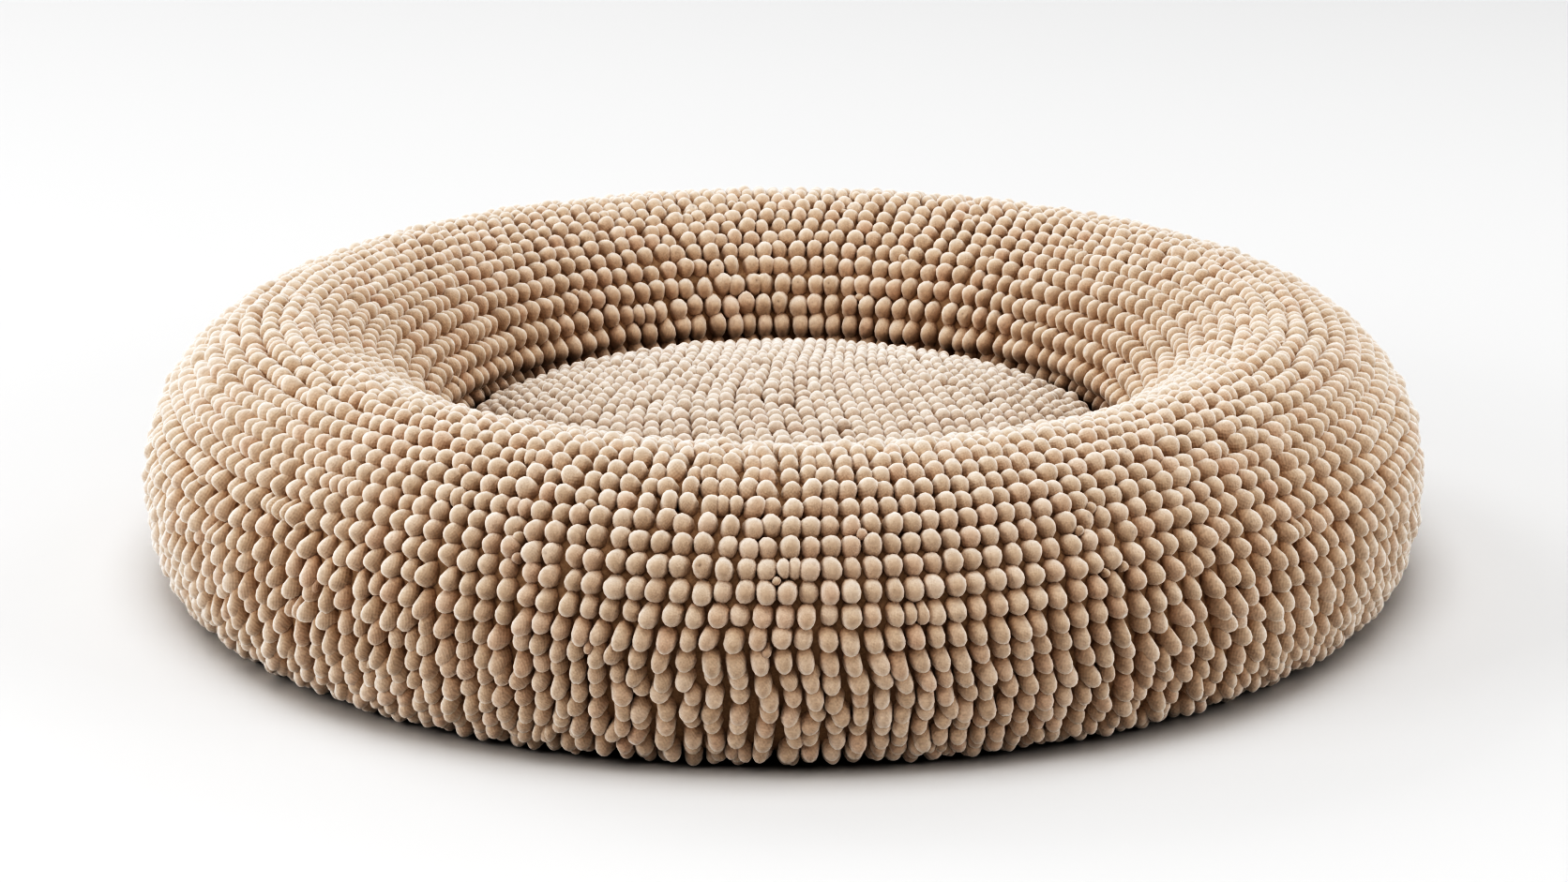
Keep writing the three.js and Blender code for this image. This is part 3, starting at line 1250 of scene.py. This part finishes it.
    def with_nubs(self, row: Bobbles, seed: int) -> Bobbles:
        """Adds small, short nubs in the corners between a row's bobbles and those of the next.

        Args:
            row: the row's bobbles.
            seed: which row it is, which also picks the places.

        Returns:
            The row with its nubs.
        """
        draw = np.random.default_rng(self.seed * 2000 + seed)
        share = self.nub_share * (1.6 if self.is_free(seed) else 1.0)
        nubs = row.where(draw.uniform(0, 1, row.count) < share)
        size = draw.uniform(0.42, 0.62, nubs.count)
        nubs.root = nubs.root + nubs.along * (0.5 * nubs.width)[:, None]
        nubs.root = nubs.root + np.cross(nubs.along, nubs.out) * (0.5 * nubs.depth)[:, None]
        nubs.reach = nubs.reach * draw.uniform(0.72, 0.92, nubs.count)
        nubs.width, nubs.depth = nubs.width * size, nubs.width * size
        # Painted shade: the nubs sit deep in the corners, so their colour is made darker.
        nubs.tint = nubs.tint - 0.5
        nubs.dimple = nubs.dimple * 0
        return Bobbles.joined([row, nubs])

    def bobbles(self) -> dict[Zone, Bobbles]:
        """Makes all the bobbles.

        Returns:
            The bobbles of each zone.
        """
        rows = [self.row_of_bobbles(row, slip) for row, slip in enumerate(self.scatter())]
        rows = [self.with_twins(row, seed) for seed, row in enumerate(rows)]
        rows = [self.with_nubs(row, seed) for seed, row in enumerate(rows)]
        zones, first = {}, 0
        for zone, end in self.zone_ends:
            zones[zone] = Bobbles.joined(rows[first:end])
            first = end
        return zones

    def backing(self) -> bpy.types.Object:
        """Makes the filled ring itself, which lies a little below the bobbles' tips.

        Returns:
            The filled ring.
        """
        point, tangent = self.outline.at(np.linspace(0, self.outline.length, 96))
        inner = point - np.stack([tangent[:, 1], -tangent[:, 0]], -1) * self.pile * self.nearness
        inner[:, 1] = np.maximum(inner[:, 1], self.foot_height)
        shape = spun(inner, 160, is_closed=True)
        for vert in shape.verts:
            angle = math.atan2(vert.co.y, vert.co.x)
            place = np.array([math.hypot(vert.co.x, vert.co.y), vert.co.z])
            radius, height = self.swell(place, angle)
            vert.co = (radius * math.cos(angle), radius * math.sin(angle), height)
        bmesh.ops.recalc_face_normals(shape, faces=shape.faces[:])
        return object_from("bolster_backing", shape)

    def build(self, cloth: bpy.types.Material, knit: bpy.types.Material) -> None:
        """Makes the bolster's pieces, dresses them and fits them to the frame.

        Args:
            cloth: the bobbles' material.
            knit: the material of the knit between them.
        """
        backing = self.backing()
        backing.data.materials.append(knit)
        settle(backing, "bolster_cloth", "bolster")
        shape = BobbleShape()
        for zone, bobbles in self.bobbles().items():
            piece = shape.joined_mesh(f"bolster_bobbles_{zone.value}", bobbles, self.floor)
            piece.data.materials.append(cloth)
            settle(piece, "bolster_cloth")


@dataclass
class Cushion:
    """The crowned cushion in the nest and its straight rows of smaller bobbles.

    Attributes:
        row_spread: how much farther apart the rows lie in the middle than on average.
        fan: how much that distance shrinks with each metre towards the back.
        snugness: how much of its pitch a bobble fills.
        pile: how deep the roots lie below the section that the tips touch.
    """

    radius: float = 0.2138
    crown_height: float = 0.101
    rim_height: float = 0.061
    foot_radius: float = 0.180
    foot_height: float = 0.0023
    flatness: float = 2.45
    shoulder: float = 2.7
    kept_radius: float = 0.985
    rows: int = 35
    row_spread: float = 0.12
    pitch: float = 0.0088
    fan: float = 0.011
    least_pitch: float = 0.0078
    snugness: float = 1.12
    bobble_depth: float = 0.0098
    ridge: float = 0.15
    pile: float = 0.0120
    tint_spread: float = 0.38
    warmth_spread: float = 0.36
    seed: int = 23
    outline: Outline = field(init=False)

    def __post_init__(self) -> None:
        """Works out the section from the middle of the underside, round the rim, to the crown."""
        radii = self.radius * np.sin(np.linspace(0, math.pi / 2, 500))
        under = np.stack([radii, self.underside(radii)], -1)
        over = np.stack([radii[::-1], self.crown(radii[::-1])], -1)
        self.outline = Outline(np.concatenate([under, over[1:]]))

    def crown(self, radius: np.ndarray) -> np.ndarray:
        """Returns the height of the top at a radius."""
        fall = (1 - (radius / self.radius) ** self.flatness).clip(0)
        return self.rim_height + (self.crown_height - self.rim_height) * fall ** (1 / self.shoulder)

    def underside(self, radius: np.ndarray) -> np.ndarray:
        """Returns the height of the underside at a radius: flat, then drawn up to the rim."""
        reach = (radius - self.foot_radius).clip(0) / (self.radius - self.foot_radius)
        return self.rim_height - (self.rim_height - self.foot_height) * np.sqrt((1 - reach ** 2).clip(0))

    def top_at(self, radius: np.ndarray) -> tuple[np.ndarray, np.ndarray]:
        """Finds places on the top.

        Args:
            radius: how far they are from the middle.

        Returns:
            Their heights, and the section's direction there, as (radius, height).
        """
        rim = np.argmax(self.outline.points[:, 0])
        radii = self.outline.points[rim:, 0][::-1]
        heights = self.outline.points[rim:, 1][::-1]
        slopes = self.outline.tangents[rim:][::-1]
        slope = np.stack([np.interp(radius, radii, slopes[:, k]) for k in (0, 1)], -1)
        return np.interp(radius, radii, heights), unit(slope)

    def row_of_bobbles(self, row: int, slip: np.ndarray, draw: np.random.Generator) -> Bobbles:
        """Makes one row of bobbles.

        Args:
            row: which row, from the front of the bed.
            slip: how far each bobble has slipped along the row, in units of its usual slip.
            draw: the cushion's random numbers.

        Returns:
            The row's bobbles, without those past the rim.
        """
        share = 2 * (row + 0.5) / self.rows - 1
        y0 = self.radius * (share + self.row_spread / math.pi * math.sin(math.pi * share))
        row_pitch = 2 * self.radius / self.rows * (1 + self.row_spread * math.cos(math.pi * share))
        index = np.arange(len(slip)) - (len(slip) - 1) / 2
        rough = index * self.pitch
        upset = smoothstep(0.6, 1.5, np.abs(Waviness(73, 5, 9.0).at(rough * 12, np.array(y0))))
        drift = 0.6 * Waviness(79, 2, 4.0).at(rough * 8, np.array(y0))
        pitch = max(self.pitch - self.fan * y0, self.least_pitch)
        x = pitch * (index + drift + ((0.05 + 0.06 * upset) * slip).clip(-0.2, 0.2))
        y = y0 + row_pitch * (0.04 + 0.10 * upset) * draw.normal(0, 1, len(slip))
        y = y + row_pitch * 0.22 * Waviness(83, 9, 12.0).at(rough * 12, np.array(y0))
        radius = np.hypot(x, y)
        gap = np.gradient(x)
        keep = radius < self.kept_radius * self.radius
        x, y, radius, gap, upset = (part[keep] for part in (x, y, radius, gap, upset))
        count = len(x)
        height, slope = self.top_at(radius)
        cosine, sine = x / radius, y / radius
        out = np.stack([slope[:, 1] * cosine, slope[:, 1] * sine, -slope[:, 0]], -1)
        level = np.zeros(count)
        lean = (0.06 + 0.16 * upset) * draw.normal(0, 1, count)
        nod = (0.07 + 0.14 * upset) * draw.normal(0, 1, count) - 0.05
        reach = self.pile * (1 + (0.05 + 0.04 * upset) * draw.normal(0, 1, count)).clip(0.8, 1.08)
        return Bobbles(
            root=np.stack([x, y, height], -1) - out * self.pile,
            out=out,
            along=np.stack([np.ones(count), level, level], -1),
            bend=np.stack([lean, nod, level], -1),
            reach=reach,
            width=(gap * self.snugness).clip(0.8 * self.pitch, 1.3 * self.pitch),
            depth=self.bobble_depth * (1 + 0.06 * draw.normal(0, 1, count)),
            ridge=np.full(count, self.ridge),
            dimple=np.zeros(count),
            tint=draw.normal(0, self.tint_spread, count).clip(-1, 1),
            warmth=draw.normal(0, self.warmth_spread, count).clip(-1, 1),
        )

    def bobbles(self) -> Bobbles:
        """Makes the rows of bobbles, straight from side to side.

        Returns:
            All the bobbles.
        """
        draw = np.random.default_rng(self.seed)
        columns = int(2 * self.radius / self.pitch) + 2
        slip = draw.normal(0, 1, columns)
        rows = []
        for row in range(self.rows):
            slip = 0.85 * slip + 0.53 * draw.normal(0, 1, columns)
            rows.append(self.row_of_bobbles(row, slip, draw))
        return Bobbles.joined(rows)

    def backing(self) -> bpy.types.Object:
        """Makes the filled cushion itself, whose top lies a bobble's length below the tips.

        Returns:
            The filled cushion.
        """
        point, tangent = self.outline.at(np.linspace(0, self.outline.length, 60))
        rise = smoothstep(self.foot_radius, self.radius, point[:, 0]) + (point[:, 1] > self.rim_height)
        depth = (self.pile * rise.clip(0, 1))[:, None]
        inner = point - np.stack([tangent[:, 1], -tangent[:, 0]], -1) * depth
        inner[:, 1] = np.maximum(inner[:, 1], self.foot_height)
        inner[[0, -1], 0] = 0.0
        shape = spun(inner, 120)
        bmesh.ops.recalc_face_normals(shape, faces=shape.faces[:])
        return object_from("cushion_backing", shape)

    def build(self, cloth: bpy.types.Material, knit: bpy.types.Material) -> None:
        """Makes the cushion's pieces, dresses them and fits them to the frame.

        Args:
            cloth: the bobbles' material.
            knit: the material of the knit between them.
        """
        backing = self.backing()
        backing.data.materials.append(knit)
        settle(backing, "cushion_cloth", "cushion")
        shape = BobbleShape(sides=8, bands=6)
        piece = shape.joined_mesh("cushion_bobbles", self.bobbles(), self.foot_height)
        piece.data.materials.append(cloth)
        settle(piece, "cushion_cloth")


@dataclass
class BaseCloth:
    """The flat round cloth that closes the bed from below."""

    radius: float = 0.360
    thickness: float = 0.002
    segments: int = 160

    def build(self, cloth: bpy.types.Material) -> None:
        """Makes the base cloth, dresses it and fits it to the frame.

        Args:
            cloth: its material.
        """
        shape = bmesh.new()
        bmesh.ops.create_circle(shape, cap_ends=True, segments=self.segments, radius=self.radius)
        face = bmesh.ops.extrude_face_region(shape, geom=shape.faces[:])
        raised = [part for part in face["geom"] if isinstance(part, bmesh.types.BMVert)]
        bmesh.ops.translate(shape, verts=raised, vec=(0, 0, self.thickness))
        bmesh.ops.recalc_face_normals(shape, faces=shape.faces[:])
        piece = object_from("base_cloth", shape)
        piece.data.materials.append(cloth)
        settle(piece, "base_cloth", "base_panel")


@dataclass(frozen=True)
class Softbox:
    """A square soft light: its name, its place and size in metres, and its power in watts."""

    name: str
    place: tuple[float, float, float]
    size: float
    power: float

    def build(self, aim: tuple[float, float, float]) -> None:
        """Adds the light, facing a point.

        Args:
            aim: the point that it faces.
        """
        lamp = bpy.data.lights.new(self.name, "AREA")
        lamp.shape = "SQUARE"
        lamp.size = self.size
        lamp.energy = self.power
        piece = link(bpy.data.objects.new(self.name, lamp))
        piece.location = self.place
        piece.rotation_euler = (Vector(aim) - Vector(self.place)).to_track_quat("-Z", "Y").to_euler()


@dataclass
class Studio:
    """The pale floor, the soft lights and the camera. Angles are in radians, and the focal length
    is in pixels of the photograph."""

    camera_distance: float = 2.32
    camera_elevation: float = 0.2945
    focal_pixels: float = 3913.0
    sensor_width: float = 36.0
    aim_height: float = 0.0701
    middle_height: float = 0.08
    floor_size: float = 30.0
    floor_shade: float = 0.70
    sky_strength: float = 0.49
    contrast: float = 3.1
    shoulder: float = 0.40
    dark_tones: tuple[float, ...] = (0.02, 0.05)
    tones: int = 12
    softboxes: tuple[Softbox, ...] = (
        Softbox("ceiling_softbox", (0.0, -0.4, 4.0), 2.4, 77.0),
        Softbox("front_softbox", (0.0, -3.0, 3.6), 1.8, 5.0),
        Softbox("front_left_softbox", (-3.4, -1.7, 1.4), 1.6, 60.0),
        Softbox("front_right_softbox", (3.4, -1.7, 1.4), 1.6, 45.0),
        Softbox("left_softbox", (-4.0, 0.6, 1.3), 2.6, 39.0),
        Softbox("right_softbox", (3.4, 0.0, 2.1), 1.7, 12.0),
        Softbox("back_softbox", (0.0, 3.6, 3.2), 2.4, 8.0),
        Softbox("back_left_softbox", (-3.4, 3.2, 3.4), 2.2, 78.0),
        Softbox("back_right_softbox", (3.4, 3.2, 3.4), 2.2, 32.0),
    )

    def floor(self) -> None:
        """Makes the floor."""
        shape = bmesh.new()
        bmesh.ops.create_grid(shape, x_segments=1, y_segments=1, size=self.floor_size / 2)
        floor = object_from("studio_floor", shape)
        sheet = NodeSheet("floor_paper")
        colour = (self.floor_shade, self.floor_shade, self.floor_shade, 1.0)
        shader = sheet.surface(Base_Color=colour, Roughness=0.9, Specular_IOR_Level=0.0)
        floor.data.materials.append(sheet.finish(shader))

    def camera(self) -> None:
        """Sets the camera at the photograph's distance, height and lens."""
        lens = bpy.data.cameras.new("camera")
        lens.sensor_width = self.sensor_width
        lens.lens = self.focal_pixels / PHOTO_WIDTH * self.sensor_width
        lens.clip_end = 100
        piece = link(bpy.data.objects.new("camera", lens))
        flat = self.camera_distance * math.cos(self.camera_elevation)
        rise = self.camera_distance * math.sin(self.camera_elevation) + self.middle_height
        piece.location = (0, -flat, rise)
        aim = Vector((0, 0, self.aim_height)) - piece.location
        piece.rotation_euler = aim.to_track_quat("-Z", "Y").to_euler()
        bpy.context.scene.camera = piece

    def tone_curve(self) -> None:
        """Gives the picture a photograph's contrast: deep soft shadows and pale highlights."""
        view = bpy.context.scene.view_settings
        view.view_transform = "Standard"
        view.use_curve_mapping = True
        curve = view.curve_mapping.curves[COMBINED_CURVE]
        for light in (*self.dark_tones, *(step / self.tones for step in range(1, self.tones))):
            power = light ** self.contrast
            curve.points.new(light, (1 + self.shoulder) * power / (power + self.shoulder))
        for point in curve.points:
            point.handle_type = "AUTO_CLAMPED"
        view.curve_mapping.update()

    def sky(self) -> None:
        """Makes the white world light."""
        scene = bpy.context.scene
        world = scene.world or bpy.data.worlds.new("world")
        scene.world = world
        world.use_nodes = True
        background = world.node_tree.nodes["Background"]
        background.inputs["Color"].default_value = (1.0, 1.0, 1.0, 1.0)
        background.inputs["Strength"].default_value = self.sky_strength

    def build(self) -> None:
        """Makes the floor, lights, world and camera."""
        self.tone_curve()
        self.sky()
        self.floor()
        for softbox in self.softboxes:
            softbox.build((0, 0, self.middle_height))
        self.camera()


def settle(piece: bpy.types.Object, slot: str, *nodes: str) -> None:
    """Rides a piece on the bed and hides the frame's nodes that it replaces.

    Args:
        piece: the piece.
        slot: not used.
        nodes: the nodes that it replaces.
    """
    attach(piece, "root")
    if nodes:
        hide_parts(*nodes)
    LOG.info("made %s: %d faces", piece.name, len(piece.data.polygons))


def main() -> None:
    """Builds the bed and the studio."""
    bobble_cloth = Chenille(
        "beige_chenille",
        body=(0.562, 0.468, 0.388, 1.0),
        pale=(0.615, 0.532, 0.462, 1.0),
        rosy=(0.572, 0.458, 0.380, 1.0),
        # root: painted shade towards the roots of the bobbles.
        root=(0.425, 0.320, 0.240, 1.0),
    )
    cushion_cloth = Chenille(
        "cream_chenille",
        body=(0.596, 0.518, 0.452, 1.0),
        pale=(0.655, 0.593, 0.534, 1.0),
        rosy=(0.592, 0.506, 0.445, 1.0),
        # root: painted shade towards the roots of the cushion's bobbles.
        root=(0.370, 0.262, 0.185, 1.0),
    )
    # The backing knit's brown is darker than the bobbles, as painted shade in the gaps.
    knit = BackingKnit("brown_backing_knit", light=(0.42, 0.335, 0.26, 1), dark=(0.365, 0.285, 0.22, 1))
    weave = PlainWeave("base_weave", thread=(0.40, 0.31, 0.23, 1), gap=(0.25, 0.18, 0.12, 1))
    Studio().build()
    Bolster().build(bobble_cloth.material(), knit.material())
    Cushion().build(cushion_cloth.material(), knit.material())
    BaseCloth().build(weave.material())


if __name__ == "__main__":
    main()
